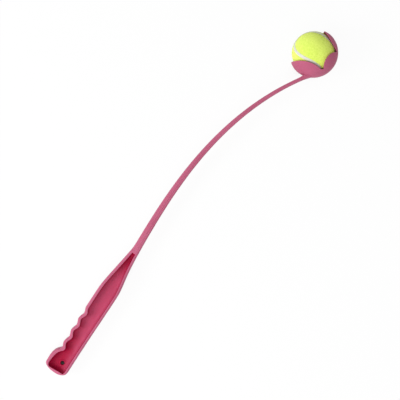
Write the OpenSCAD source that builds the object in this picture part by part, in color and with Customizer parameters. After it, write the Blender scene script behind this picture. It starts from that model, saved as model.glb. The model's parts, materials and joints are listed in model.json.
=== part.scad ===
// Dog ball launcher: a one-piece moulded wand with a cored grip, a bent shaft and a claw cup,
// and a felt ball in the cup.
// It lies on its side, resting on the ball and on the butt of the grip. Millimetres.
// +X runs from the butt to the cup, +Y is the throwing side with the finger grooves, +Z is up.

/* [Ball] */
// Outside diameter of the felt ball
ball_d = 65; // [60:0.5:70]
// Thickness of the felt cover
felt_t = 3; // [2:0.25:4]
// Wall of the rubber core
core_wall = 3.3; // [2.5:0.1:5]
// Width of the seam between the felt panels
seam_w = 4; // [2:0.2:5]
// How strongly the seam weaves: 0 is a plain ring round the ball
seam_weave = 0.18; // [0.12:0.01:0.28]
// How far the seam lies below the felt
seam_drop = 0.5; // [0.2:0.1:1]
// How the ball happens to lie in the cup, turned about X, Y and Z
ball_turn = [139.6, -48.3, 143.7]; // [-180:0.1:180]

/* [Cup] */
// Free play between the ball and the cup, all round
cup_play = 0.3; // [0.15:0.05:0.6]
// Wall of the cup
cup_wall = 3.5; // [2.5:0.1:5]
// Height of the two jaws above the ball's centre
rim_h = 12.5; // [6:0.5:14]
// Turn of the cup from the line of the shaft's end, in degrees
cup_turn = 19.3; // [0:0.1:40]
// Ball centre ahead of the shaft's end
cup_reach = 33.4; // [28:0.2:40]
// Ball centre to the throwing side of the shaft's end
cup_lift = 27.6; // [22:0.2:32]
// Side window: distance of the far jaw's edge from the ball centre, at the notch
jaw_foot = 23.2; // [18:0.1:27]
// Side window: distance of the far jaw's edge from the ball centre, at the rim
jaw_tip = 32; // [22:0.1:32.5]
// Side window: depth of the notch beside the far jaw
jaw_notch = 22.8; // [16:0.1:28]
// Side window: rounding of the far jaw's corner
jaw_corner = 1.5; // [0.5:0.1:2]
// Side window: notch beside the shaft, distance back from the ball centre
heel_notch_x = 12.1; // [6:0.1:20]
// Side window: depth of the notch beside the shaft
heel_notch = 25; // [18:0.1:28]
// Side window: foot of the low side leaf at that notch, distance back from the ball centre
leaf_foot_x = 8.7; // [4:0.1:12]
// Side window: depth of the side leaf's foot
leaf_foot = 27.6; // [20:0.1:30]
// Side window: radius of the low side leaf
side_leaf_r = 23; // [20:0.5:60]
// Side window: radius of the near jaw's edge
heel_edge_r = 64; // [40:1:120]
// Extra room between the jaws on the ball's way out
jaw_relief = 0.1; // [0.05:0.05:0.3]

/* [Shaft] */
// Length of the shaft along its curve, grip to cup
shaft_len = 346; // [200:1:450]
// Total bend of the shaft, in degrees
shaft_bend = 35.6; // [10:0.2:50]
// How late the bend comes: 1 is a plain arc
bend_power = 1.6; // [1:0.1:3]
// Width in the swing plane at the grip
shaft_width_grip = 10.9; // [8:0.1:16]
// Width in the swing plane at the cup
shaft_width_cup = 4.7; // [4:0.1:10]
// Depth across the swing plane at the grip
shaft_depth_grip = 16; // [10:0.5:24]
// Depth across the swing plane at the cup
shaft_depth_cup = 14; // [10:0.5:24]
// Crown of the shaft's two side faces
shaft_crown = 0.5; // [0:0.1:1.5]
// How far the shaft runs on into the cup's wall
root_in = 21; // [16:0.5:26]
// Fillet of the shaft into the cup, throwing side
root_top = 7; // [0:0.5:10]
// Fillet of the shaft into the cup, back
root_back = 1.2; // [0:0.1:4]
// Spread of the shaft into the cup, each side face
root_side = 3; // [0:0.5:6]

/* [Grip] */
// Length of the grip, butt to shaft
grip_len = 222; // [160:1:260]
// Depth of the grip across the swing plane
grip_t = 24; // [18:0.5:32]
// Height of the butt lobe above the shaft line
butt_h = 30.7; // [24:0.1:36]
// Height of the first finger crest above the shaft line
grip_h = 23.2; // [18:0.1:28]
// Swell of the back below the shaft line
grip_back = 11.1; // [7:0.1:15]
// Pitch of the finger grooves
finger_pitch = 20.2; // [16:0.1:26]
// Depth of the finger grooves
finger_depth = 2.8; // [1:0.1:5]
// Rounding of the butt
butt_r = 9.5; // [5:0.5:14]
// Rounding of the butt across the swing plane
butt_round = 4.5; // [1:0.5:7]
// Butt end behind the line that the grip is measured from
butt_out = 3.6; // [2:0.2:6]
// Height of the butt's middle above the shaft line
butt_mid = 9; // [5:0.5:14]
// Rounding of the grip's long edges
edge_r = 2.6; // [1:0.1:5]
// Width of the flat rim beside the cored hollows, finger side
rim_w = 1.9; // [1:0.1:4]
// Width of the flat rim beside the cored hollows, back
rim_back_w = 0.9; // [0.6:0.1:4]
// Web left between the two hollows
web_t = 3.2; // [2:0.1:6]
// Solid end of the butt before the hollows start
butt_wall = 4.6; // [3:0.2:8]
// Length over which the hollows deepen at the butt
hollow_in = 6; // [4:0.5:12]
// Length over which the hollows run out toward the shaft
hollow_out = 9; // [5:0.5:20]
// Solid left in the butt lobe beside the hollows
lobe_solid = 1.5; // [0:0.5:8]

/* [Hang hole] */
// Diameter of the hole through the web
hang_d = 6; // [4:0.5:8]
// Hole centre from the butt
hang_x = 13.5; // [10:0.5:20]
// Hole centre above the shaft line
hang_y = 8.8; // [4:0.1:14]
// Outside diameter of the low boss round the hole
boss_d = 11; // [9:0.5:14]
// Length of the hole through the boss
boss_t = 4; // [3:0.1:8]

/* [Hidden] */
$fn = 96;

ball_r = ball_d / 2;
core_r = ball_r - felt_t;
cup_ri = ball_r + cup_play;
cup_ro = cup_ri + cup_wall;
butt_x = -butt_out;

// Smooth step, and a smooth curve through control points [x, y]
function sstep(a, b, x) = let (t = max(0, min(1, (x - a) / (b - a)))) t * t * (3 - 2 * t);
function knot(k, x, i = 0) = i >= len(k) - 2 || x < k[i + 1][0] ? i : knot(k, x, i + 1);
function rise(k, i) = let (p = k[max(0, i - 1)], q = k[min(len(k) - 1, i + 1)])
    (q[1] - p[1]) / (q[0] - p[0]);
function curve(k, x) = let (i = knot(k, x), h = k[i + 1][0] - k[i][0], t = (x - k[i][0]) / h)
    (2 * t * t * t - 3 * t * t + 1) * k[i][1] + (t * t * t - 2 * t * t + t) * h * rise(k, i)
    + (3 * t * t - 2 * t * t * t) * k[i + 1][1] + (t * t * t - t * t) * h * rise(k, i + 1);

// Centreline of the wand: straight through the grip, then a bend that tightens toward the cup
function heading(s) = s <= grip_len ? 0 : -shaft_bend * pow((s - grip_len) / shaft_len, bend_power);
line_step = 2;
line_n = ceil((shaft_len + 2 * root_in) / line_step);
line_pts = [for (i = 0, p = [grip_len, 0]; i <= line_n;
    p = p + line_step * [cos(heading(grip_len + (i + 0.5) * line_step)),
        sin(heading(grip_len + (i + 0.5) * line_step))], i = i + 1) p];
function centre(s) = s <= grip_len ? [s, 0] : let (u = (s - grip_len) / line_step, i = floor(u))
    line_pts[i] + (u - i) * (line_pts[i + 1] - line_pts[i]);

// Ball centre and the cup's own axes
end_s = grip_len + shaft_len;
end_h = heading(end_s);
ball_c = centre(end_s) + cup_reach * [cos(end_h), sin(end_h)] + cup_lift * [-sin(end_h), cos(end_h)];
cup_h = end_h + cup_turn;

// Lying on its side: the ball and the butt touch the ground
tilt = asin((ball_r - grip_t / 2) / (ball_c[0] - butt_x - 0.9 * butt_r));
butt_reach = butt_x * cos(tilt) - (grip_t / 2 - butt_round) * sin(tilt);
lay_x = (ball_c[0] * cos(tilt) + cup_ro + butt_reach) / 2;
lay_y = (ball_c[1] - cup_ro + butt_h) / 2;
lay_z = ball_r - ball_c[0] * sin(tilt);

// Outline of the wand along its length
crest_x = 0.198 * grip_len;
function butt_ease(s) = let (t = min(1, max(0, (s - butt_x) / butt_r))) sqrt(1 - (1 - t) * (1 - t));
back_ctl = [[-0.02, 0.45 * grip_back], [0.036, 0.45 * grip_back], [0.27, 0.64 * grip_back],
    [0.45, 0.838 * grip_back], [0.62, grip_back], [0.675, 0.955 * grip_back],
    [0.775, 0.71 * grip_back], [0.883, 0.57 * shaft_width_grip], [1, 0.5 * shaft_width_grip]];
top_ctl = [[-0.02, butt_h], [0.05, butt_h], [0.08, 0.995 * butt_h], [0.105, 0.955 * butt_h],
    [0.126, 0.87 * butt_h], [0.153, 1.02 * grip_h], [0.198, grip_h], [0.29, 0.975 * grip_h],
    [0.383, 0.948 * grip_h], [0.49, 0.9 * grip_h], [0.63, 0.832 * grip_h], [0.685, 0.76 * grip_h],
    [0.793, 0.56 * grip_h], [0.9, 0.358 * grip_h], [0.96, 0.55 * shaft_width_grip],
    [1, 0.5 * shaft_width_grip]];
depth_ctl = [[-0.02, grip_t], [0.52, grip_t], [0.6, grip_t], [0.66, 0.995 * grip_t], [0.8, 0.9 * grip_t],
    [0.92, 1.08 * shaft_depth_grip], [1, shaft_depth_grip]];
function fingers(s) = s > crest_x + 3 * finger_pitch ? 0
    : finger_depth * sstep(crest_x - 0.9 * finger_pitch, crest_x - 0.55 * finger_pitch, s)
    * (1 - cos(360 * (s - crest_x) / finger_pitch)) / 2;
function shaft_f(s) = max(0, (s - grip_len) / shaft_len);
function shaft_hw(s) = (shaft_width_grip + (shaft_width_cup - shaft_width_grip) * min(1, shaft_f(s))) / 2;
function shaft_ht(s) = (shaft_depth_grip + (shaft_depth_cup - shaft_depth_grip) * min(1, shaft_f(s))) / 2;
function back_w(s) = s > grip_len
    ? shaft_hw(s) + root_back * sstep(end_s + 0.2 * root_in, end_s + root_in, s)
    : (curve(back_ctl, s / grip_len) + butt_mid) * butt_ease(s) - butt_mid;
function top_w(s) = s > grip_len
    ? shaft_hw(s) + root_top * pow(max(0, (s - end_s) / root_in + 0.2) / 1.2, 2)
    : (curve(top_ctl, s / grip_len) - fingers(s) - butt_mid) * butt_ease(s) + butt_mid;
function half_t(s) = s > grip_len
    ? shaft_ht(s) + root_side * sstep(end_s - 1.2 * root_in, end_s + 0.7 * root_in, s)
    : curve(depth_ctl, s / grip_len) / 2 - butt_round * (1 - butt_ease(s));

// The cored hollow on each side: how deep it is and where its edges run
core_x0 = butt_x + butt_wall;
core_x1 = 0.93 * grip_len;
function ramp(x) = let (t = max(0, min(1, x))) sqrt(t * (2 - t));
function hollow(s) = s > grip_len ? 0 : (half_t(s) - web_t / 2)
    * ramp((s - core_x0) / hollow_in) * ramp((core_x1 - s) / hollow_out);
function lobe_in(s) = lobe_solid * sstep(0.03, 0.1, s / grip_len) * (1 - sstep(0.12, 0.16, s / grip_len));
function long_r(s) = min(edge_r, 0.46 * (back_w(s) + top_w(s)) / 2, 0.6 * half_t(s));
function edge_in(s, flat) = min(edge_r + flat, 0.36 * (back_w(s) + top_w(s)));

// One cross-section as [across, up] points: a rounded bar with a rounded trough sunk in both faces
bowl_n = 9;
bowl_p = 3;
function bowl(t) = pow(1 - pow(abs(2 * t - 1), bowl_p), 1 / bowl_p);
function spread(i) = (1 - cos(180 * i / (bowl_n + 1))) / 2;
function half_section(s) = let (b = -back_w(s), t = top_w(s), h = half_t(s), r = long_r(s),
    e0 = b + edge_in(s, rim_back_w), e1 = t - edge_in(s, rim_w) - lobe_in(s) - 0.2 * fingers(s),
    d = hollow(s), up = shaft_crown * sstep(core_x1, grip_len, s))
    concat([[b, 0]],
        [for (a = [180 : -30 : 90]) [b + r + r * cos(a), h - r + r * sin(a)]],
        [for (i = [0 : bowl_n + 1]) [e0 + (e1 - e0) * spread(i), h + (up - d) * bowl(spread(i))]],
        [for (a = [90 : -30 : 0]) [t - r + r * cos(a), h - r + r * sin(a)]]);
function section(s) = let (u = half_section(s), n = len(u))
    concat(u, [[top_w(s), 0]], [for (i = [n - 1 : -1 : 1]) [u[i][0], -u[i][1]]]);
function placed(s) = let (c = centre(s), h = heading(s))
    [for (p = section(s)) [c[0] - p[0] * sin(h), c[1] + p[0] * cos(h), p[1]]];

// Stations along the wand, closer where the outline moves faster
wave_x = crest_x + 3.2 * finger_pitch;
wave_n = 39;
taper_n = 12;
shaft_n = 30;
root_n = 8;
function even(a, b, n) = [for (i = [0 : n]) a + (b - a) * i / n];
stations = concat([for (t = [0.02, 0.07, 0.16, 0.3, 0.48, 0.7, 0.95]) butt_x + t * butt_r],
    even(butt_x + 1.25 * butt_r, wave_x - finger_pitch / 8, wave_n),
    even(wave_x, core_x1 - 1.1 * hollow_out, taper_n),
    [for (t = [0.83, 0.55, 0.33, 0.16, 0.05, 0]) core_x1 - t * hollow_out],
    even(core_x1 + 0.3 * (grip_len - core_x1), grip_len, 2),
    [for (i = [1 : shaft_n]) grip_len + i * (shaft_len - 0.3 * root_in) / shaft_n],
    [for (i = [1 : root_n]) end_s - 0.3 * root_in + i * 1.3 * root_in / root_n]);

// Skin through the stations, closed at both ends
module bar() {
    rings = [for (s = stations) placed(s)];
    n = len(rings[0]);
    m = len(rings);
    points = [for (r = rings) each r];
    sides = [for (j = [0 : m - 2]) for (i = [0 : n - 1]) let (a = j * n + i, b = j * n + (i + 1) % n)
        each [[a, b, b + n], [a, b + n, a + n]]];
    // The caps: fans from the middle of the first and the last ring
    first = [for (i = [0 : n - 1]) [(i + 1) % n, i, m * n]];
    last = [for (i = [0 : n - 1]) [(m - 1) * n + i, (m - 1) * n + (i + 1) % n, m * n + 1]];
    mid = function (r) [for (k = [0 : 2]) (r[0][k] + r[n / 2][k]) / 2];
    ends = [mid(rings[0]), mid(rings[m - 1])];
    polyhedron(concat(points, ends), concat(sides, first, last), convexity = 8);
}

// Centre of a circle of radius r through p and q, to the left of the way from p to q
function arc_centre(p, q, r) = let (d = q - p, l = norm(d)) (p + q) / 2
    + sqrt(r * r - l * l / 4) * [-d[1], d[0]] / l;

// What is open in the cup, drawn in the swing plane: everything above the jaws, and the side window
module cup_open() {
    w = 1.5 * cup_ro;
    heel = [-heel_notch_x, -heel_notch];
    foot = [-leaf_foot_x, -leaf_foot];
    toe = [jaw_foot, -jaw_notch];
    lean = atan((jaw_tip - jaw_foot) / (rim_h + jaw_notch));
    jaw_at = function (y) jaw_tip + (y - rim_h) * tan(lean);
    lip = [-0.99 * sqrt(cup_ro * cup_ro - rim_h * rim_h), rim_h];
    leaf = arc_centre(toe, foot, side_leaf_r);
    translate([-w, rim_h])
        square([2 * w, w]);
    difference() {
        polygon([[-w, leaf[1]], [jaw_at(leaf[1]), leaf[1]], [jaw_at(w), w], [-w, w]]);
        translate(arc_centre(heel, lip, heel_edge_r))
            circle(r = heel_edge_r);
        translate(leaf)
            circle(r = side_leaf_r);
        // Below the floor of the notch beside the shaft
        polygon([heel, foot, [foot[0], leaf[1]], [heel[0], leaf[1]]]);
    }
    // The far jaw's rounded corner
    bend = [jaw_at(rim_h - jaw_corner) + jaw_corner / cos(lean), rim_h - jaw_corner];
    difference() {
        polygon([bend, bend + 2 * jaw_corner * [-cos(lean), sin(lean)],
            [jaw_tip - jaw_corner, rim_h + jaw_corner], bend + [0, 2 * jaw_corner]]);
        translate(bend)
            circle(r = jaw_corner);
    }
}

module cup_outside() {
    difference() {
        sphere(r = cup_ro);
        translate([0, 0, -2 * cup_ro])
            linear_extrude(height = 4 * cup_ro)
                cup_open();
    }
}

// The ball's seat, and a relief the jaws' own width above it so the ball can leave
module cup_inside() {
    sphere(r = cup_ri);
    rotate([-90, 0, 0])
        cylinder(r = cup_ri + jaw_relief, h = 2 * cup_ro);
}

module lay() {
    translate([-lay_x, -lay_y, lay_z])
        rotate([0, -tilt, 0])
            children();
}

module at_cup() {
    translate([ball_c[0], ball_c[1], 0])
        rotate([0, 0, cup_h])
            children();
}

module wand() {
    color([0.72, 0.15, 0.25])
        lay()
            difference() {
                union() {
                    bar();
                    translate([hang_x, hang_y, -boss_t / 2])
                        cylinder(d = boss_d, h = boss_t);
                    at_cup()
                        cup_outside();
                }
                at_cup()
                    cup_inside();
                translate([hang_x, hang_y, -grip_t])
                    cylinder(d = hang_d, h = 2 * grip_t);
            }
}

// The seam runs on a sphere; each side of it is one felt panel
seam_n = 60;
seam_ring = 1 - seam_weave;
seam_rise = 2 * sqrt(seam_ring * seam_weave);
function seam_at(t) = [seam_ring * cos(t) + seam_weave * cos(3 * t),
    seam_ring * sin(t) - seam_weave * sin(3 * t), seam_rise * sin(2 * t)];
function seam_way(t) = let (v = [-seam_ring * sin(t) - 3 * seam_weave * sin(3 * t),
    seam_ring * cos(t) - 3 * seam_weave * cos(3 * t), 2 * seam_rise * cos(2 * t)]) v / norm(v);
function seam_side(t, w) = let (p = seam_at(t), n = cross(p, seam_way(t)), a = w / ball_r * 180 / PI)
    cos(a) * p + sin(a) * n;

// Wedge out through one panel, from inside the core: t0 is a lobe's tip, w the inset from the seam line
module wedge(t0, w) {
    n = seam_n;
    half = n / 2;
    way = [for (i = [0 : n - 1]) seam_side(t0 + 360 * i / n, w)];
    points = concat([for (p = way) 3.2 * ball_r * p], [for (p = way) 0.6 * ball_r * p]);
    sides = [for (i = [0 : n - 1]) [(i + 1) % n, i, n + i, n + (i + 1) % n]];
    strip = concat([[0, 1, n - 1]],
        [for (i = [1 : half - 2]) each [[i, i + 1, n - i], [i + 1, n - i - 1, n - i]]],
        [[half - 1, half, half + 1]]);
    under = [for (f = strip) [n + f[0], n + f[2], n + f[1]]];
    polyhedron(points, concat(sides, strip, under), convexity = 8);
}

module at_ball() {
    lay()
        translate([ball_c[0], ball_c[1], 0])
            rotate(ball_turn)
                children();
}

module ball_core_half_a() {
    color([0.2, 0.2, 0.22])
        at_ball()
            difference() {
                sphere(r = core_r);
                sphere(r = core_r - core_wall);
                translate([-ball_d, -ball_d, -2 * ball_d])
                    cube(2 * ball_d);
            }
}

module ball_core_half_b() {
    color([0.2, 0.2, 0.22])
        at_ball()
            difference() {
                sphere(r = core_r);
                sphere(r = core_r - core_wall);
                translate([-ball_d, -ball_d, 0])
                    cube(2 * ball_d);
            }
}

module ball_felt_panel_a() {
    color([0.8, 0.88, 0.35])
        at_ball()
            difference() {
                intersection() {
                    sphere(r = ball_r);
                    wedge(-45, seam_w / 2);
                }
                sphere(r = core_r);
            }
}

module ball_felt_panel_b() {
    color([0.8, 0.88, 0.35])
        at_ball()
            difference() {
                intersection() {
                    sphere(r = ball_r);
                    wedge(45, -seam_w / 2);
                }
                sphere(r = core_r);
            }
}

// Band along the seam line, from inside the core up to just below the felt
module seam_band() {
    n = seam_n;
    r0 = 0.9 * core_r;
    r1 = ball_r - seam_drop;
    points = [for (i = [0 : n - 1]) let (t = -45 + 360 * i / n, a = seam_side(t, seam_w / 2),
        b = seam_side(t, -seam_w / 2)) each [r1 * a, r0 * a, r0 * b, r1 * b]];
    skin = [for (i = [0 : n - 1]) for (k = [0 : 3]) let (p = 4 * i + k, q = 4 * i + (k + 1) % 4,
        u = (4 * i + 4 + k) % (4 * n), v = (4 * i + 4 + (k + 1) % 4) % (4 * n))
        each [[p, q, v], [p, v, u]]];
    polyhedron(points, skin, convexity = 8);
}

module ball_seam() {
    color([0.9, 0.9, 0.86])
        at_ball()
            difference() {
                seam_band();
                sphere(r = core_r);
            }
}

wand();
ball_core_half_a();
ball_core_half_b();
ball_felt_panel_a();
ball_felt_panel_b();
ball_seam();
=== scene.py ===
"""Looks of a dog ball launcher: a moulded wand lying on its side with a felt ball in its claw cup."""
import json
import math

import bmesh
import bpy
import numpy as np
from mathutils import Euler, Matrix, Vector
from mathutils.geometry import delaunay_2d_cdt


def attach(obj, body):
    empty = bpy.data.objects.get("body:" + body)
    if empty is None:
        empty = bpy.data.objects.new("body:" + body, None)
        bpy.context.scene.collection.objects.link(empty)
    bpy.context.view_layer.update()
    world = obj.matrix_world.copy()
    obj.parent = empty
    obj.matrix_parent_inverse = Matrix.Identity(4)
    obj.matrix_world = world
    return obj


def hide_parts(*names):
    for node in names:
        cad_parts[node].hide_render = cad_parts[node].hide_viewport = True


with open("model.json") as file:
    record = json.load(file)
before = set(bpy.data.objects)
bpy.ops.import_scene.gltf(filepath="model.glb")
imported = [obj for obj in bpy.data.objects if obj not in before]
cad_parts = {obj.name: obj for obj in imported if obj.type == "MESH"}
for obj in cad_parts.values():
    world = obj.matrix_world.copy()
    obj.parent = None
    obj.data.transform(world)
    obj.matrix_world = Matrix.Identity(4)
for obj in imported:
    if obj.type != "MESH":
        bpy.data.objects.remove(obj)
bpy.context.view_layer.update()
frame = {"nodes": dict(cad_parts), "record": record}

MM = 0.001

# The launcher's sizes as in the solid model: millimetres, degrees, and a few shares and powers
BALL_R = 32.5
FELT_T = 3.0
SEAM_W = 4.0
SEAM_DROP = 0.5
SEAM_WEAVE = 0.18
BALL_TURN = (139.6, -48.3, 143.7)
CUP_PLAY = 0.3
CUP_WALL = 3.5
RIM_H = 12.5
CUP_TURN = 19.3
CUP_REACH = 33.4
CUP_LIFT = 27.6
JAW_FOOT = 23.2
JAW_TIP = 32.0
JAW_NOTCH = 22.8
JAW_CORNER = 1.5
HEEL_NOTCH_X = 12.1
HEEL_NOTCH = 25.0
LEAF_FOOT_X = 8.7
LEAF_FOOT = 27.6
SIDE_LEAF_R = 23.0
HEEL_EDGE_R = 64.0
LIP_SHARE = 0.99
JAW_RELIEF = 0.1
SHAFT_LEN = 346.0
SHAFT_BEND = 35.6
BEND_POWER = 1.6
SHAFT_WIDTH_GRIP = 10.9
SHAFT_WIDTH_CUP = 4.7
SHAFT_DEPTH_GRIP = 16.0
SHAFT_DEPTH_CUP = 14.0
SHAFT_CROWN = 0.5
ROOT_IN = 21.0
ROOT_TOP = 7.0
ROOT_BACK = 1.2
ROOT_SIDE = 3.0
GRIP_LEN = 222.0
GRIP_T = 24.0
BUTT_H = 30.7
GRIP_H = 23.2
GRIP_BACK = 11.1
FINGER_PITCH = 20.2
FINGER_DEPTH = 2.8
BUTT_R = 9.5
BUTT_ROUND = 4.5
BUTT_OUT = 3.6
BUTT_MID = 9.0
EDGE_R = 2.6
RIM_W = 1.9
RIM_BACK_W = 0.9
WEB_T = 3.2
BUTT_WALL = 4.6
HOLLOW_IN = 6.0
HOLLOW_OUT = 9.0
LOBE_SOLID = 1.5
BOWL_POWER = 3.0
HANG_D = 6.0
HANG_X = 13.5
HANG_Y = 8.8
BOSS_D = 11.0
BOSS_T = 4.0

# Sizes that only the looks have, in millimetres
HOLLOW_LIP = 0.55
PARTING_W = 0.35
PARTING_H = 0.12
CUP_EDGE_ROUND = 0.9
TIP_THIN = 0.6
NOTCH_SOFT = 0.9
SLANT_MOST = 4.5
HOLE_CHAMFER = 0.5
BOSS_EDGE = ((0, -0.35), (-0.12, -0.12), (-0.35, 0))
CORE_GAP = 0.05
FELT_INSET = SEAM_W / 2 + 0.25
SEAM_LAP = 0.25
FELT_LOW = 0.55
FELT_ROLL = 1.6
FELT_DROP = 0.6
FELT_LUMPS = 0.4
LUMP_SIZE = 3.0
FELT_SKIN = 0.7 * FELT_T
FELT_UNDER = 0.65 * FELT_T
FIBRE_LENGTH = 0.7
FIBRE_WIDTH = 0.06
FIBRE_LOWEST = 1.3

# The fibres' bend as a share of their length, their tilt in radians, and how many grow on a square metre
FIBRE_BEND = 0.35
FIBRE_TILT = 0.9
FIBRES_PER_M2 = 1.5e6

# Where a painted sheen lies on the hollows' floor, with painted shade left at their ends and walls: shares of
# the grip's length and of the hollow's depth
SHEEN_START = (0.15, 0.45)
SHEEN_END = (0.7, 0.88)
SHEEN_BACK = 0.35
SHEEN_FLOOR = (0.25, 0.85)

# How finely the shapes are cut: distances between points in millimetres, counts of points, shares of the last
# ring's size, and the angle in degrees from which an edge is sharp
STATION_GAP = 0.06
LOOP_STEP = 0.55
PATCH_STEP = 1.25
EDGE_STEPS = 13
CIRCLE_STEPS = 64
END_RINGS = (0.7, 0.4, 0.1)
WELD = 0.01
SHARP_ANGLE = 38

CUP_RI = BALL_R + CUP_PLAY
CUP_RO = CUP_RI + CUP_WALL
BUTT_X = -BUTT_OUT
END_S = GRIP_LEN + SHAFT_LEN
CREST_X = 0.198 * GRIP_LEN
CORE_X0 = BUTT_X + BUTT_WALL
CORE_X1 = 0.93 * GRIP_LEN
QUARTER = math.pi / 2

# The photograph: its width, its scale at the ball, the grip's slant, the butt's place, the camera's distance
PHOTO_W = 400
MM_PER_PIXEL = 1.477
GRIP_ANGLE = 59.42
BUTT_PIXEL = (63.2, 373.63)
CAMERA_AWAY = 1.5


def place_along(x_axis, y_axis, z_axis, origin):
    """The place of something at an origin whose own axes lie along three directions."""
    return Matrix.Translation(origin) @ Matrix((x_axis, y_axis, z_axis)).transposed().to_4x4()


def new_object(name, data):
    """An object with that data, put in the scene."""
    made = bpy.data.objects.new(name, data)
    bpy.context.scene.collection.objects.link(made)
    return made


# The wand's own axes in the row frame, from the two mounts: along the grip, across it, square to the swing
mounts = {m["name"]: m for m in frame["record"]["mounts"]}
swing_normal = Vector(mounts["hang_hole"]["axis"])
grip_along = Vector((swing_normal.z, 0, -swing_normal.x))
grip_across = Vector((0, 1, 0))
ball_centre = Vector(mounts["ball_cup"]["pos_m"])
butt_origin = Vector(mounts["hang_hole"]["pos_m"]) - (HANG_X * grip_along + HANG_Y * grip_across) * MM
wand_place = place_along(grip_along, grip_across, swing_normal, butt_origin)
ball_turn = Euler([math.radians(a) for a in BALL_TURN]).to_matrix().to_4x4()
ball_place = Matrix.Translation(ball_centre) @ wand_place.to_3x3().to_4x4() @ ball_turn

# Camera, at the photograph's viewing angle: square on to the swing plane
grip_slant = math.radians(GRIP_ANGLE)
image_right = (math.cos(grip_slant) * grip_along - math.sin(grip_slant) * grip_across).normalized()
image_up = (math.sin(grip_slant) * grip_along + math.cos(grip_slant) * grip_across).normalized()
across_px = PHOTO_W / 2 - BUTT_PIXEL[0]
up_px = BUTT_PIXEL[1] - PHOTO_W / 2
image_middle = butt_origin + (across_px * image_right + up_px * image_up) * MM_PER_PIXEL * MM

camera_data = bpy.data.cameras.new("camera")
camera_data.sensor_width = 36
camera_data.lens = camera_data.sensor_width * CAMERA_AWAY / (PHOTO_W * MM_PER_PIXEL * MM)
camera_data.clip_end = 20
camera = new_object("camera", camera_data)
camera_spot = image_middle + CAMERA_AWAY * swing_normal
camera.matrix_world = place_along(image_right, image_up, swing_normal, camera_spot)
bpy.context.scene.camera = camera


# Nodes

def linear(hex_colour):
    """An sRGB hex colour as linear RGBA."""
    parts = [int(hex_colour[i:i + 2], 16) / 255 for i in (1, 3, 5)]
    return [c / 12.92 if c <= 0.04045 else ((c + 0.055) / 1.055) ** 2.4 for c in parts] + [1.0]


def add(tree, kind, values=None, **settings):
    """Adds a node: settings are its own properties, values are numbers or sockets for its inputs."""
    made = tree.nodes.new(kind)
    for name, value in settings.items():
        setattr(made, name, value)
    for key, value in (values or {}).items():
        if isinstance(value, bpy.types.NodeSocket):
            tree.links.new(value, made.inputs[key])
        else:
            made.inputs[key].default_value = value
    return made


def calc(tree, operation, *values):
    """The result of a Math node."""
    return add(tree, "ShaderNodeMath", dict(enumerate(values)), operation=operation).outputs["Value"]


def vector_calc(tree, operation, *values, **named):
    """The result of a Vector Math node: a vector, or a number for a length or a distance."""
    node = add(tree, "ShaderNodeVectorMath", {**dict(enumerate(values)), **named}, operation=operation)
    return node.outputs["Value" if operation in ("LENGTH", "DISTANCE") else "Vector"]


def new_material(name):
    """A material and its node tree, emptied."""
    material = bpy.data.materials.new(name)
    material.use_nodes = True
    material.node_tree.nodes.clear()
    return material, material.node_tree


def noise(tree, size_mm, **looks):
    """A noise pattern in the piece's own space whose cells are about that many millimetres across."""
    place = add(tree, "ShaderNodeTexCoord").outputs["Object"]
    values = {"Vector": place, "Scale": 1 / (size_mm * MM), **looks}
    return add(tree, "ShaderNodeTexNoise", values).outputs["Fac"]


def stored(tree, name):
    """A level stored on the piece's vertices."""
    return add(tree, "ShaderNodeAttribute", attribute_name=name).outputs["Fac"]


def ranged(tree, level, low, high):
    """A level from 0 to 1 as a number from low to high."""
    return add(tree, "ShaderNodeMapRange", {"Value": level, "To Min": low, "To Max": high}).outputs["Result"]


def two_tones(tree, level, dark, light, low=0.3, high=0.7):
    """A colour that goes from dark to light as a level rises from low to high."""
    ramp = add(tree, "ShaderNodeValToRGB", {"Fac": level})
    for stop, position, tone in zip(ramp.color_ramp.elements, (low, high), (dark, light)):
        stop.position = position
        stop.color = linear(tone)
    return ramp.outputs["Color"]


def blend(tree, share, first, second, **settings):
    """A share of the way from one colour to another."""
    values = {0: share, 6: first, 7: second}
    return add(tree, "ShaderNodeMix", values, data_type="RGBA", **settings).outputs[2]


def bumped(tree, height, strength, depth_mm):
    """The surface's normals over a relief of that depth."""
    values = {"Strength": strength, "Distance": depth_mm * MM, "Height": height}
    return add(tree, "ShaderNodeBump", values).outputs["Normal"]


def covered(material, looks):
    """A material whose tree ends in one surface shader with those looks."""
    shader = add(material.node_tree, "ShaderNodeBsdfPrincipled", looks)
    add(material.node_tree, "ShaderNodeOutputMaterial", {"Surface": shader.outputs["BSDF"]})
    return material


# Materials

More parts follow.
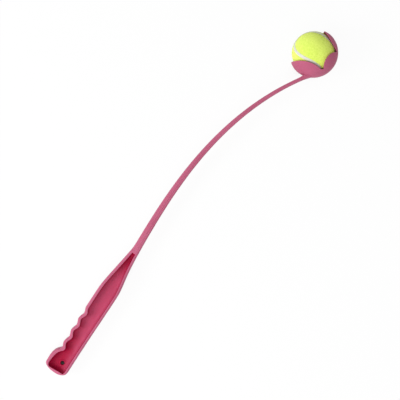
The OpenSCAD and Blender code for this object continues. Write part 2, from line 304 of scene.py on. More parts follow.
def moulded_polypropylene():
    """Injection-moulded polypropylene, crimson: a spark-eroded satin skin outside, milky pink in the light,
    and a core side with a glossier polish, whose deep clear red in the hollows is painted shade, with a
    painted milky sheen on their floor."""
    material, tree = new_material("moulded_polypropylene_crimson")
    # How far into a hollow: there the core side's polish sets gloss and grain, and the colour is a painted
    # shade of deeper red
    polish_and_shade = stored(tree, "hollow")
    # Flow marks, 60 mm long: where the melt ran, the pigment is a touch lighter
    flow = noise(tree, 60, Detail=3.0, Roughness=0.55, Distortion=0.6)
    satin = two_tones(tree, flow, "#B35A76", "#BC6480")
    # In the hollows the deep tone is painted shade at their walls and ends, and the milky tone is a painted
    # sheen on their floor
    deep = two_tones(tree, flow, "#9A0832", "#A4103B")
    milky = two_tones(tree, flow, "#AD3D5C", "#B74566")
    pigment = blend(tree, polish_and_shade, satin, blend(tree, stored(tree, "painted_sheen"), deep, milky))
    # Pigment specks, drawn at 1.2 mm so that they show
    speck = noise(tree, 1.2, Detail=2.0)
    colour = blend(tree, 1.0, pigment, ranged(tree, speck, 0.93, 1.07), blend_type="MULTIPLY")
    gloss = add(tree, "ShaderNodeMix", {0: polish_and_shade, 2: ranged(tree, speck, 0.46, 0.58), 3: 0.5})
    # Moulded grain: 0.45 mm grit in the satin skin, almost none in the hollows
    grain = noise(tree, 0.45, Detail=2.0)
    return covered(material, {
        "Base Color": colour, "Roughness": gloss.outputs[0],
        "Normal": bumped(tree, grain, ranged(tree, polish_and_shade, 0.15, 0.03), 0.05),
        "IOR": 1.49, "Specular IOR Level": 0.1, "Subsurface Weight": 0.06,
        "Subsurface Radius": (1.0, 0.25, 0.2), "Subsurface Scale": 1.2 * MM})


def needled_felt():
    """Needled wool and nylon felt, optic yellow: matt, hazy at the rim, with a nap of loose fibre ends."""
    material, tree = new_material("needled_felt_optic_yellow")
    # Tufts about 2.4 mm across, and fibres drawn at 0.5 mm so that they show
    tuft = noise(tree, 2.4, Detail=4.0, Roughness=0.65, Distortion=0.8)
    fibre = noise(tree, 0.5, Detail=2.0)
    return covered(material, {
        "Base Color": two_tones(tree, tuft, "#DAEE62", "#F3FF8A", 0.28, 0.72), "Roughness": 0.95,
        "Normal": bumped(tree, calc(tree, "ADD", tuft, fibre), 0.5, 0.4), "Diffuse Roughness": 1.0,
        "Specular IOR Level": 0.15, "Sheen Weight": 0.3, "Sheen Roughness": 0.5,
        "Sheen Tint": linear("#F4FFB0")})


def vulcanised_seam_rubber():
    """Rubber cement cured in the mould, off-white and matt, a little chalky with dust from the felt."""
    material, tree = new_material("vulcanised_seam_rubber_off_white")
    dust = noise(tree, 1.5, Detail=3.0)
    pits = noise(tree, 0.4, Detail=2.0)
    return covered(material, {
        "Base Color": two_tones(tree, dust, "#D3D3C4", "#E0E0D3"), "Roughness": 0.68,
        "Normal": bumped(tree, pits, 0.2, 0.1), "Specular IOR Level": 0.35})


def black_core_rubber():
    """Moulded black rubber of the ball's core, buffed for the felt: matt, slightly grey in the scratches."""
    material, tree = new_material("moulded_core_rubber_black")
    buffing = noise(tree, 0.8, Detail=4.0)
    return covered(material, {
        "Base Color": two_tones(tree, buffing, "#1C1C1E", "#38383A", 0, 1), "Roughness": 0.8,
        "Normal": bumped(tree, buffing, 0.3, 0.1)})


# The wand's outline along its length, as functions of the distance s from the butt

def ease(a, b, x):
    """0 below a, 1 above b, smooth between."""
    t = np.clip((x - a) / (b - a), 0, 1)
    return t * t * (3 - 2 * t)


def through(points, x):
    """A smooth curve through control points (x, y)."""
    px, py = np.array(points, float).T
    slope = np.gradient(py, px)
    slope[1:-1] = (py[2:] - py[:-2]) / (px[2:] - px[:-2])
    i = np.clip(np.searchsorted(px, x, side="right") - 1, 0, len(px) - 2)
    h = px[i + 1] - px[i]
    t = (x - px[i]) / h
    return ((2 * t ** 3 - 3 * t ** 2 + 1) * py[i] + (t ** 3 - 2 * t ** 2 + t) * h * slope[i]
            + (3 * t ** 2 - 2 * t ** 3) * py[i + 1] + (t ** 3 - t ** 2) * h * slope[i + 1])


def heading(s):
    """Direction of the wand's line, in radians: straight in the grip, then a bend that tightens."""
    part = np.clip((s - GRIP_LEN) / SHAFT_LEN, 0, None)
    return -np.radians(SHAFT_BEND) * part ** BEND_POWER


def centre_line(s):
    """Points of the wand's line at s."""
    steps = np.linspace(GRIP_LEN, END_S + 2 * ROOT_IN, 400)
    middle = (steps[1:] + steps[:-1]) / 2
    length = np.diff(steps)
    x = GRIP_LEN + np.concatenate([[0], np.cumsum(np.cos(heading(middle)) * length)])
    y = np.concatenate([[0], np.cumsum(np.sin(heading(middle)) * length)])
    in_grip = s < GRIP_LEN
    return np.where(in_grip, s, np.interp(s, steps, x)), np.where(in_grip, 0, np.interp(s, steps, y))


def butt_ease(s):
    """The butt's rounding: 0 at its very end, 1 where the grip has its full height."""
    t = np.clip((s - BUTT_X) / BUTT_R, 0, 1)
    return np.sqrt(1 - (1 - t) ** 2)


def fingers(s):
    """Depth of the three finger grooves."""
    wave = (1 - np.cos(2 * np.pi * (s - CREST_X) / FINGER_PITCH)) / 2
    start = ease(CREST_X - 0.9 * FINGER_PITCH, CREST_X - 0.55 * FINGER_PITCH, s)
    return np.where(s > CREST_X + 3 * FINGER_PITCH, 0, FINGER_DEPTH * start * wave)


def along_shaft(s, at_grip, at_cup):
    """A half size that tapers evenly along the shaft."""
    return (at_grip + (at_cup - at_grip) * np.clip((s - GRIP_LEN) / SHAFT_LEN, 0, 1)) / 2


def back_edge(s):
    """How far the wand reaches behind its line."""
    grip = through([(-0.02, 0.45 * GRIP_BACK), (0.036, 0.45 * GRIP_BACK), (0.27, 0.64 * GRIP_BACK),
                    (0.45, 0.838 * GRIP_BACK), (0.62, GRIP_BACK), (0.675, 0.955 * GRIP_BACK),
                    (0.775, 0.71 * GRIP_BACK), (0.883, 0.57 * SHAFT_WIDTH_GRIP),
                    (1, 0.5 * SHAFT_WIDTH_GRIP)], s / GRIP_LEN)
    shaft = along_shaft(s, SHAFT_WIDTH_GRIP, SHAFT_WIDTH_CUP) + ROOT_BACK * ease(
        END_S + 0.2 * ROOT_IN, END_S + ROOT_IN, s)
    return np.where(s > GRIP_LEN, shaft, (grip + BUTT_MID) * butt_ease(s) - BUTT_MID)


def top_edge(s):
    """How far the wand reaches to the throwing side of its line."""
    grip = through([(-0.02, BUTT_H), (0.05, BUTT_H), (0.08, 0.995 * BUTT_H), (0.105, 0.955 * BUTT_H),
                    (0.126, 0.87 * BUTT_H), (0.153, 1.02 * GRIP_H), (0.198, GRIP_H), (0.29, 0.975 * GRIP_H),
                    (0.383, 0.948 * GRIP_H), (0.49, 0.9 * GRIP_H), (0.63, 0.832 * GRIP_H),
                    (0.685, 0.76 * GRIP_H), (0.793, 0.56 * GRIP_H), (0.9, 0.358 * GRIP_H),
                    (0.96, 0.55 * SHAFT_WIDTH_GRIP), (1, 0.5 * SHAFT_WIDTH_GRIP)], s / GRIP_LEN)
    root = np.clip((s - END_S) / ROOT_IN + 0.2, 0, None) / 1.2
    shaft = along_shaft(s, SHAFT_WIDTH_GRIP, SHAFT_WIDTH_CUP) + ROOT_TOP * root ** 2
    return np.where(s > GRIP_LEN, shaft, (grip - fingers(s) - BUTT_MID) * butt_ease(s) + BUTT_MID)


def half_depth(s):
    """Half the wand's depth across the swing plane."""
    grip = through([(-0.02, GRIP_T), (0.52, GRIP_T), (0.6, GRIP_T), (0.66, 0.995 * GRIP_T),
                    (0.8, 0.9 * GRIP_T), (0.92, 1.08 * SHAFT_DEPTH_GRIP),
                    (1, SHAFT_DEPTH_GRIP)], s / GRIP_LEN)
    shaft = along_shaft(s, SHAFT_DEPTH_GRIP, SHAFT_DEPTH_CUP) + ROOT_SIDE * ease(
        END_S - 1.2 * ROOT_IN, END_S + 0.7 * ROOT_IN, s)
    return np.where(s > GRIP_LEN, shaft, grip / 2 - BUTT_ROUND * (1 - butt_ease(s)))


def hollow_depth(s):
    """Depth of the cored hollow in each side face."""
    first = np.clip((s - CORE_X0) / HOLLOW_IN, 0, 1)
    last = np.clip((CORE_X1 - s) / HOLLOW_OUT, 0, 1)
    ends = np.sqrt(first * (2 - first)) * np.sqrt(last * (2 - last))
    return np.where(s > GRIP_LEN, 0, (half_depth(s) - WEB_T / 2) * ends)


def hollow_edges(s):
    """Where the hollow's two long edges run, back and finger side."""
    back, top = -back_edge(s), top_edge(s)
    widest = 0.36 * (top - back)
    lobe = LOBE_SOLID * ease(0.03, 0.1, s / GRIP_LEN) * (1 - ease(0.12, 0.16, s / GRIP_LEN))
    return (back + np.minimum(EDGE_R + RIM_BACK_W, widest),
            top - np.minimum(EDGE_R + RIM_W, widest) - lobe - 0.2 * fingers(s))


def wand_stations():
    """Distances along the wand, closest where its outline or its hollow turns fastest."""
    quarter = 1 - np.cos(np.linspace(0.03, QUARTER, 18))
    all_s = np.concatenate([
        BUTT_X + BUTT_R * quarter,
        CORE_X0 + HOLLOW_IN * quarter,
        CORE_X1 - HOLLOW_OUT * quarter,
        np.arange(BUTT_X + BUTT_R, GRIP_LEN, 1.0),
        np.linspace(GRIP_LEN, END_S - 1.3 * ROOT_IN, 110),
        np.linspace(END_S - 1.3 * ROOT_IN, END_S + ROOT_IN, 60)])
    kept = []
    for s in np.sort(all_s):
        if not kept or s - kept[-1] > STATION_GAP:
            kept.append(s)
    return np.array(kept)


def wand_section(s):
    """Cross-section at s as (across, up) points, from the back edge over the upper face to the top edge."""
    back, top, half = -back_edge(s), top_edge(s), half_depth(s)
    round_r = min(EDGE_R, 0.23 * (top - back), 0.6 * half)
    inner = hollow_edges(s)
    deep = hollow_depth(s)
    lip = min(HOLLOW_LIP, 0.45 * deep)
    crown = SHAFT_CROWN * ease(CORE_X1, GRIP_LEN, s)
    corner = np.linspace(0, QUARTER, 9)
    lip_turn = np.linspace(0, QUARTER, 5)[:-1]
    share = (1 - np.cos(np.linspace(0, math.pi, 35))) / 2
    bowl = np.abs(1 - np.abs(2 * share - 1) ** BOWL_POWER) ** (1 / BOWL_POWER)
    across = [[back - PARTING_H], [back], back + round_r * (1 - np.cos(corner)),
              inner[0] - lip + lip * np.sin(lip_turn), inner[0] + (inner[1] - inner[0]) * share,
              (inner[1] + lip - lip * np.sin(lip_turn))[::-1],
              (top - round_r * (1 - np.cos(corner)))[::-1], [top], [top + PARTING_H]]
    up = [[0], [PARTING_W], half - round_r * (1 - np.sin(corner)),
          half - lip * (1 - np.cos(lip_turn)), half - lip + (crown + lip - deep) * bowl,
          (half - lip * (1 - np.cos(lip_turn)))[::-1],
          (half - round_r * (1 - np.sin(corner)))[::-1], [PARTING_W], [0]]
    return np.concatenate(across), np.concatenate(up)


def design_ball_centre():
    """The ball's centre in the wand's own axes."""
    x, y = centre_line(np.array([END_S]))
    h = float(heading(np.array(END_S)))
    return np.array([x[0] + CUP_REACH * math.cos(h) - CUP_LIFT * math.sin(h),
                     y[0] + CUP_REACH * math.sin(h) + CUP_LIFT * math.cos(h), 0.0])


def wand_rings():
    """Closed rings of points round the wand, butt to cup; the last ones end inside the cup's wall."""
    stations = wand_stations()
    line_x, line_y = centre_line(stations)
    rings = []
    for s, x, y in zip(stations, line_x, line_y):
        across, up = wand_section(s)
        across = np.concatenate([across, across[-2:0:-1]])
        up = np.concatenate([up, -up[-2:0:-1]])
        h = heading(s)
        rings.append(np.stack([x - across * math.sin(h), y + across * math.cos(h), up], axis=1))
    # The end at the cup is closed by smaller rings, so that it can follow the wall's curve
    last_middle = rings[-1].mean(axis=0)
    rings += [last_middle + share * (rings[-1] - last_middle) for share in END_RINGS]
    rings = np.array(rings)
    from_ball = rings - design_ball_centre()
    distance = np.linalg.norm(from_ball, axis=2, keepdims=True)
    wall_middle = CUP_RI + 0.5 * CUP_WALL
    return np.where(distance < wall_middle, design_ball_centre() + from_ball * wall_middle / distance, rings)


# Meshes

def skin(rings):
    """Vertices and faces of a closed skin through rings of points."""
    count, around = len(rings), len(rings[0])
    faces = [(j * around + i, j * around + (i + 1) % around, (j + 1) * around + (i + 1) % around,
              (j + 1) * around + i) for j in range(count - 1) for i in range(around)]
    faces.append(tuple(range(around))[::-1])
    faces.append(tuple((count - 1) * around + i for i in range(around)))
    return np.concatenate(rings), faces


def solid(name, points, faces, place=wand_place):
    """A mesh object from points in millimetres, set in its place, with faces outward."""
    mesh = bpy.data.meshes.new(name)
    mesh.from_pydata([tuple(p) for p in np.asarray(points) * MM], [], faces)
    mesh.transform(place)
    work = bmesh.new()
    work.from_mesh(mesh)
    bmesh.ops.remove_doubles(work, verts=work.verts, dist=WELD * MM)
    bmesh.ops.recalc_face_normals(work, faces=work.faces)
    work.to_mesh(mesh)
    work.free()
    return new_object(name, mesh)


def points_of(mesh):
    """A mesh's vertices as rows of x, y and z, in metres."""
    places = np.empty(len(mesh.vertices) * 3)
    mesh.vertices.foreach_get("co", places)
    return places.reshape(-1, 3)


def finished_mesh(piece):
    """Replaces a piece's modifiers by the plain mesh that they give."""
    bpy.context.view_layer.update()
    seen = piece.evaluated_get(bpy.context.evaluated_depsgraph_get())
    mesh = bpy.data.meshes.new_from_object(seen)
    old = piece.data
    piece.modifiers.clear()
    piece.data = mesh
    mesh.name = piece.name
    bpy.data.meshes.remove(old)


def combine(piece, tool, operation):
    """Joins a tool to a piece or cuts it out of it, and drops the tool."""
    cut = piece.modifiers.new(operation.lower(), "BOOLEAN")
    cut.operation = operation
    cut.solver = "EXACT"
    cut.object = tool
    finished_mesh(piece)
    bpy.data.objects.remove(tool)


# The claw cup

def unit(rows):
    """Rows of numbers as directions of length one."""
    return rows / np.linalg.norm(rows, axis=1, keepdims=True)


def on_circle(angles):
    """Points of the unit circle."""
    return np.stack([np.cos(angles), np.sin(angles)], axis=1)


def arc(start, end, radius, count):
    """Points on an arc from start to end whose centre lies to the left of the way."""
    start, end = np.array(start), np.array(end)
    way = end - start
    length = np.linalg.norm(way)
    aside = math.sqrt(radius ** 2 - length ** 2 / 4)
    centre = (start + end) / 2 + aside * np.array([-way[1], way[0]]) / length
    a0 = math.atan2(*(start - centre)[::-1])
    sweep = math.atan2(*(end - centre)[::-1]) - a0
    sweep = (sweep + math.pi) % (2 * math.pi) - math.pi
    return centre + radius * on_circle(a0 + sweep * np.linspace(0, 1, count))


def evened(loop, step):
    """A closed loop on the unit sphere with points an even step apart."""
    closed = np.concatenate([loop, loop[:1]])
    run = np.concatenate([[0], np.cumsum(np.linalg.norm(np.diff(closed, axis=0), axis=1))])
    at = np.linspace(0, run[-1], int(run[-1] / step), endpoint=False)
    return unit(np.stack([np.interp(at, run, closed[:, k]) for k in range(3)], axis=1))


def softened(loop, radius):
    """Rounds the loop's corners by averaging each point with its neighbours within a radius."""
    step = np.linalg.norm(loop[1] - loop[0])
    reach = max(1, int(2 * radius / step))
    weights = np.exp(-0.5 * (np.arange(-reach, reach + 1) * step / radius) ** 2)
    return unit(sum(w * np.roll(loop, k, axis=0) for w, k in zip(weights, range(-reach, reach + 1))))


def cup_rim():
    """The cup's outer edge as a closed loop of unit directions: x to the far jaw, y to the mouth."""
    reach = math.sqrt(CUP_RO ** 2 - RIM_H ** 2)
    toe = (JAW_FOOT, -JAW_NOTCH)
    heel = (-HEEL_NOTCH_X, -HEEL_NOTCH)
    foot = (-LEAF_FOOT_X, -LEAF_FOOT)
    lip = (-LIP_SHARE * reach, RIM_H)
    lean = math.atan((JAW_TIP - JAW_FOOT) / (RIM_H + JAW_NOTCH))
    bend_x = JAW_TIP - JAW_CORNER * math.tan(lean) + JAW_CORNER / math.cos(lean)
    jaw = np.array([bend_x, RIM_H - JAW_CORNER]) + JAW_CORNER * on_circle(
        np.linspace(QUARTER, math.pi - lean, 20))
    far_rim = [(reach * math.cos(a), RIM_H) for a in np.linspace(0, math.acos(bend_x / reach), 20)]
    near_rim = [(-reach * math.cos(a), RIM_H) for a in np.linspace(math.acos(LIP_SHARE), 0, 6)]
    flat = np.concatenate([far_rim, jaw[1:], np.linspace(jaw[-1], toe, 60)[1:],
                           arc(toe, foot, SIDE_LEAF_R, 80)[1:], np.linspace(foot, heel, 12)[1:],
                           arc(heel, lip, HEEL_EDGE_R, 80)[1:], near_rim[1:]])
    side = np.sqrt(np.clip(CUP_RO ** 2 - (flat ** 2).sum(axis=1), 0, None))
    one = np.column_stack([flat, side])
    loop = unit(np.concatenate([one, (one * (1, 1, -1))[-2:0:-1]]))
    return softened(evened(loop, LOOP_STEP / CUP_RO), NOTCH_SOFT / CUP_RO)


def inside(points, loop):
    """Which 2-D points lie inside a closed loop."""
    ax, ay = loop.T
    bx, by = np.roll(loop, -1, axis=0).T
    hit = np.zeros(len(points), bool)
    for k, (x, y) in enumerate(points):
        crosses = (ay > y) != (by > y)
        cross_x = (bx - ax) * (y - ay) / np.where(crosses, by - ay, 1) + ax
        hit[k] = np.count_nonzero(crosses & (x < cross_x)) % 2
    return hit


def flattened(directions):
    """Unit directions as points of a plane, seen from the cup's mouth."""
    return directions[:, (0, 2)] / (1 - directions[:, 1:2])


def cup_patch(loop):
    """Even directions all over the cup inside the loop, and the triangles between them."""
    step = PATCH_STEP / CUP_RO
    spread = []
    for polar in np.arange(0, math.radians(115), 0.866 * step):
        count = max(1, int(2 * math.pi * math.sin(polar) / step))
        round_angle = 2 * math.pi * (np.arange(count) + 0.5 * (len(spread) % 2)) / count
        spread.append(np.stack([math.sin(polar) * np.cos(round_angle), np.full(count, -math.cos(polar)),
                                math.sin(polar) * np.sin(round_angle)], axis=1))
    spread = np.concatenate(spread)
    spread = spread[inside(flattened(spread), flattened(loop))]
    gap = np.array([np.min(((loop - p) ** 2).sum(axis=1)) for p in spread])
    spread = spread[gap > (0.6 * step) ** 2]
    points = np.concatenate([loop, spread])
    found = delaunay_2d_cdt([Vector(p) for p in flattened(points)], [], [list(range(len(loop)))], 1, 1e-7)
    origin = [ids[0] for ids in found[3]]
    return points, [tuple(origin[i] for i in face) for face in found[2]]


def seat_radius(directions):
    """Radius of the cup's seat in each direction; the jaws are relieved for the ball."""
    toward_mouth = directions[:, 1]
    jaws = (CUP_RI + JAW_RELIEF) / np.sqrt(np.maximum(1 - toward_mouth ** 2, 0.1))
    return np.where(toward_mouth > 0, np.maximum(CUP_RI, jaws), CUP_RI)


def outside_radius(directions):
    """Radius of the cup's outside in each direction; the jaws thin out toward their tips."""
    return CUP_RO - TIP_THIN * ease(0, RIM_H / CUP_RO, directions[:, 1])


def cup_shell():
    """Vertices and faces of the cup: an outside, a seat and a rounded edge all round."""
    rim = cup_rim()
    inward = unit(np.cross(rim, np.roll(rim, -1, axis=0) - np.roll(rim, 1, axis=0)))
    bottom = np.array([0, -1, 0])
    if np.mean(inward @ bottom) < 0:
        inward = -inward
    # The window is cut square to the swing plane, so the seat's edge lies further in than the outer one
    height = np.abs(rim[:, 2])
    slant = -CUP_WALL * inward[:, 2] * np.sign(rim[:, 2]) / np.maximum(height, 0.05)
    slant = np.clip(slant, 0, np.minimum(SLANT_MOST, 0.5 * CUP_RO * height))[:, None]
    outer, inner = [unit(rim + inward * (CUP_EDGE_ROUND + further) / CUP_RO) for further in (0, slant)]
    out_points, out_faces = cup_patch(outer)
    in_points, in_faces = cup_patch(inner)
    vertices = [out_points * outside_radius(out_points)[:, None], in_points * seat_radius(in_points)[:, None]]
    faces = list(out_faces) + [tuple(len(out_points) + i for i in face) for face in in_faces]
    # The edge strip: straight across the wall, rounded over to the outside and to the seat
    edge_seat, edge_out = seat_radius(inner), outside_radius(outer)
    for k in range(1, EDGE_STEPS):
        a = math.pi * k / EDGE_STEPS
        level = math.copysign(abs(math.cos(a)) ** 0.6, math.cos(a))
        bulge = (outer + inner) / 2 + (outer - inner) / 2 * level
        bulge = unit(bulge - inward * CUP_EDGE_ROUND / CUP_RO * math.sin(a) ** 0.5)
        radius = (edge_out + edge_seat) / 2 + (edge_out - edge_seat) / 2 * level
        vertices.append(bulge * radius[:, None])
    n = len(rim)
    first = len(out_points) + len(in_points)
    starts = [0] + [first + k * n for k in range(EDGE_STEPS - 1)] + [len(out_points)]
    for a, b in zip(starts, starts[1:]):
        faces += [(a + i, a + (i + 1) % n, b + (i + 1) % n, b + i) for i in range(n)]
    return np.concatenate(vertices), faces


# The wand

def mark_hollow(wand):
    """Stores on each vertex how far down in a hollow it is, for the hollows' polish and painted shade, and
    how much painted sheen lies on it, 0 to 1.
    """
    places = points_of(wand.data) - np.array(butt_origin)
    s, across, up = (places @ np.array(wand_place.to_3x3())).T / MM
    low, high = hollow_edges(s)
    depth = half_depth(s) - np.abs(up)
    within = (s > CORE_X0) & (s < CORE_X1) & (across > low - 0.1) & (across < high + 0.1)
    # The painted sheen on the floor starts nearer to the butt along the back than on the finger side
    from_back = np.clip((across - low) / np.maximum(high - low, 1), 0, 1)
    start = ease(*SHEEN_START, s / GRIP_LEN + SHEEN_BACK * (1 - from_back) ** 2)
    floor = ease(*SHEEN_FLOOR, depth / (GRIP_T / 2 - WEB_T / 2))
    painted_sheen = start * (1 - ease(*SHEEN_END, s / GRIP_LEN)) * floor
    # The first level gives the hollows' polish and painted shade, the second the painted sheen on their floor
    for name, level in (("hollow", ease(0.2, 1.6, depth)), ("painted_sheen", painted_sheen)):
        marks = wand.data.attributes.new(name, "FLOAT", "POINT")
        marks.data.foreach_set("value", np.where(within, level, 0.0))


def turned(name, profile):
    """A turned solid on the hang hole's line, the same above and below, from pairs of radius and height."""
    ring = np.zeros((CIRCLE_STEPS, 3))
    ring[:, :2] = on_circle(np.linspace(0, 2 * math.pi, CIRCLE_STEPS, endpoint=False))
    whole = [(r, -z) for r, z in profile[::-1]] + profile
    return solid(name, *skin([(HANG_X, HANG_Y, z) + ring * r for r, z in whole]))


def build_wand(material):
    """The one-piece wand: bar, boss round the hang hole, claw cup, less the hang hole."""
    wand = solid("wand_moulding", *skin(wand_rings()))
    boss = [(0.5 * BOSS_D + out, 0.5 * BOSS_T + up) for out, up in BOSS_EDGE]
    combine(wand, turned("boss", boss), "UNION")
    bore = [(0.5 * HANG_D, 0.5 * BOSS_T - HOLE_CHAMFER),
            (0.5 * HANG_D + 2 * HOLE_CHAMFER, 0.5 * BOSS_T + HOLE_CHAMFER)]
    combine(wand, turned("hang_hole", bore), "DIFFERENCE")
    turn_cup = float(heading(np.array(END_S)) + math.radians(CUP_TURN))
    cup_place = wand_place @ Matrix.Translation(Vector(design_ball_centre()) * MM)
    cup_place = cup_place @ Matrix.Rotation(turn_cup, 4, "Z")
    combine(wand, solid("cup", *cup_shell(), cup_place), "UNION")
    wand.data.materials.clear()
    wand.data.materials.append(material)
    wand.data.shade_smooth()
    wand.data.set_sharp_from_angle(angle=math.radians(SHARP_ANGLE))
    mark_hollow(wand)
    return wand


# The ball, whose seam follows one rule on a sphere

def seam_rule():
    """Node group: the seam's direction from the ball's centre at a turn, moved aside by an offset angle."""
    group = bpy.data.node_groups.new("seam_rule", "GeometryNodeTree")
    group.interface.new_socket("Turn", in_out="INPUT", socket_type="NodeSocketFloat")
    group.interface.new_socket("Offset", in_out="INPUT", socket_type="NodeSocketFloat")
    group.interface.new_socket("Direction", in_out="OUTPUT", socket_type="NodeSocketVector")
    given = add(group, "NodeGroupInput").outputs
    ring = 1 - SEAM_WEAVE
    weave = SEAM_WEAVE
    rise = 2 * math.sqrt(ring * weave)
    # Point: a ring that the weave bends, three waves to one, and the rise; its change along the turn has the
    # same waves a quarter turn on
    parts = []
    for phase, once, thrice in ((0, (ring, ring, rise), (weave, -weave, 0)),
                                (QUARTER, (ring, ring, 2 * rise), (3 * weave, -3 * weave, 0))):
        slow = vector_calc(group, "MULTIPLY_ADD", given["Turn"], (1, 1, 2), (QUARTER + phase, phase, phase))
        fast = vector_calc(group, "MULTIPLY_ADD", given["Turn"], (3, 3, 0), (QUARTER + phase, phase, 0))
        base = vector_calc(group, "MULTIPLY", vector_calc(group, "SINE", slow), once)
        parts.append(vector_calc(group, "MULTIPLY_ADD", vector_calc(group, "SINE", fast), thrice, base))
    point, change = parts
    side = vector_calc(group, "NORMALIZE", vector_calc(group, "CROSS_PRODUCT", point, change))
    ahead = vector_calc(group, "SCALE", point, Scale=calc(group, "COSINE", given["Offset"]))
    beside = vector_calc(group, "SCALE", side, Scale=calc(group, "SINE", given["Offset"]))
    total = vector_calc(group, "ADD", ahead, beside)
    add(group, "NodeGroupOutput", {"Direction": vector_calc(group, "NORMALIZE", total)})
    return group


def on_seam(tree, rule, turn, offset):
    """A direction by the seam's rule."""
    values = {"Turn": turn, "Offset": offset}
    return add(tree, "GeometryNodeGroup", values, node_tree=rule).outputs["Direction"]


def new_tree(name, sizes):
    """A geometry tree with a named input for each size, and its inputs' sockets."""
    tree = bpy.data.node_groups.new(name, "GeometryNodeTree")
    tree.interface.new_socket("Geometry", in_out="INPUT", socket_type="NodeSocketGeometry")
    for size in sizes:
        tree.interface.new_socket(size, in_out="INPUT", socket_type="NodeSocketFloat")
    tree.interface.new_socket("Geometry", in_out="OUTPUT", socket_type="NodeSocketGeometry")
    return tree, add(tree, "NodeGroupInput").outputs


def unit_sheet(tree, along, across):
    """A flat sheet one unit square with so many points each way, and the two coordinates of a point on it."""
    values = {"Size X": 1, "Size Y": 1, "Vertices X": along, "Vertices Y": across}
    sheet = add(tree, "GeometryNodeMeshGrid", values).outputs["Mesh"]
    place = add(tree, "GeometryNodeInputPosition").outputs["Position"]
    at = add(tree, "ShaderNodeSeparateXYZ", {0: place}).outputs
    return sheet, at["X"], at["Y"]


def moved(tree, mesh, **where):
    """A mesh with its points set in a new position or offset."""
    return add(tree, "GeometryNodeSetPosition", {"Geometry": mesh, **where}).outputs["Geometry"]


def dressed(tree, geometry, material):
    """Geometry made real and given its material."""
    real = add(tree, "GeometryNodeRealizeInstances", {"Geometry": geometry}).outputs["Geometry"]
    return add(tree, "GeometryNodeSetMaterial", {"Geometry": real, "Material": material}).outputs["Geometry"]


def end_sheet(tree, sheet, direction, radius, weld_mm, material):
    """Lays a sheet's points out from the ball's centre, welds those that meet, and ends the tree."""
    laid = moved(tree, sheet, Position=vector_calc(tree, "SCALE", direction, Scale=radius))
    welded = add(tree, "GeometryNodeMergeByDistance", {"Geometry": laid, "Distance": weld_mm * MM})
    add(tree, "NodeGroupOutput", {"Geometry": dressed(tree, welded.outputs["Geometry"], material)})
    return tree


def seam_tree(rule, material):
    """A closed band along the seam with a rounded-rectangle section."""
    tree, size = new_tree("seam_band", ("Outer radius", "Inner radius", "Width"))
    band, along, around = unit_sheet(tree, 361, 25)
    # Section: a circle squared off by raising its sine and cosine to a low power
    angle = calc(tree, "MULTIPLY", around, 2 * math.pi)
    square = []
    for wave in ("COSINE", "SINE"):
        value = calc(tree, wave, angle)
        flat = calc(tree, "POWER", calc(tree, "ABSOLUTE", value), 0.4)
        square.append(calc(tree, "MULTIPLY", flat, calc(tree, "SIGN", value)))
    across, up = square
    middle = calc(tree, "MULTIPLY", calc(tree, "ADD", size["Outer radius"], size["Inner radius"]), 0.5)
    half = calc(tree, "SUBTRACT", size["Outer radius"], middle)
    radius = calc(tree, "MULTIPLY_ADD", up, half, middle)
    half_angle = calc(tree, "MULTIPLY", calc(tree, "DIVIDE", size["Width"], size["Outer radius"]), 0.5)
    offset = calc(tree, "MULTIPLY", across, half_angle)
    direction = on_seam(tree, rule, calc(tree, "MULTIPLY", along, 2 * math.pi), offset)
    return end_sheet(tree, band, direction, radius, WELD, material)


def felt_tree(rule, material):
    """One dumb-bell panel: rows across it from seam to seam, lumpy, and rolled down at its edge."""
    tree, size = new_tree("felt_panel", (
        "Radius", "Lobe tip", "Seam inset", "Edge roll", "Edge drop", "Lumps"))
    sheet, along, across = unit_sheet(tree, 201, 81)
    half_turn = calc(tree, "MULTIPLY", calc(tree, "ADD", along, 0.5), math.pi)
    ends = [on_seam(tree, rule, calc(tree, way, size["Lobe tip"], half_turn), size["Seam inset"])
            for way in ("ADD", "SUBTRACT")]
    # Across a row the points crowd toward the seam, where the felt rolls down
    crowded = calc(tree, "SINE", calc(tree, "MULTIPLY", across, math.pi))
    share = calc(tree, "MULTIPLY_ADD", crowded, 0.5, 0.5)
    between = add(tree, "ShaderNodeMix", {0: share, 4: ends[0], 5: ends[1]}, data_type="VECTOR").outputs[1]
    direction = vector_calc(tree, "NORMALIZE", between)
    gaps = [vector_calc(tree, "DISTANCE", direction, end) for end in ends]
    from_seam = calc(tree, "MULTIPLY", calc(tree, "MINIMUM", *gaps), size["Radius"])
    roll = add(tree, "ShaderNodeMapRange", {
        "Value": from_seam, "From Max": size["Edge roll"], "To Min": size["Edge drop"], "To Max": 0},
        interpolation_type="SMOOTHERSTEP").outputs["Result"]
    lump = add(tree, "ShaderNodeTexNoise", {
        "Vector": direction, "Scale": BALL_R / LUMP_SIZE, "Detail": 3.0, "Roughness": 0.6}).outputs["Fac"]
    low = calc(tree, "ADD", roll, calc(tree, "MULTIPLY", lump, size["Lumps"]))
    radius = calc(tree, "SUBTRACT", size["Radius"], low)
    return end_sheet(tree, sheet, direction, radius, 2 * WELD, material)


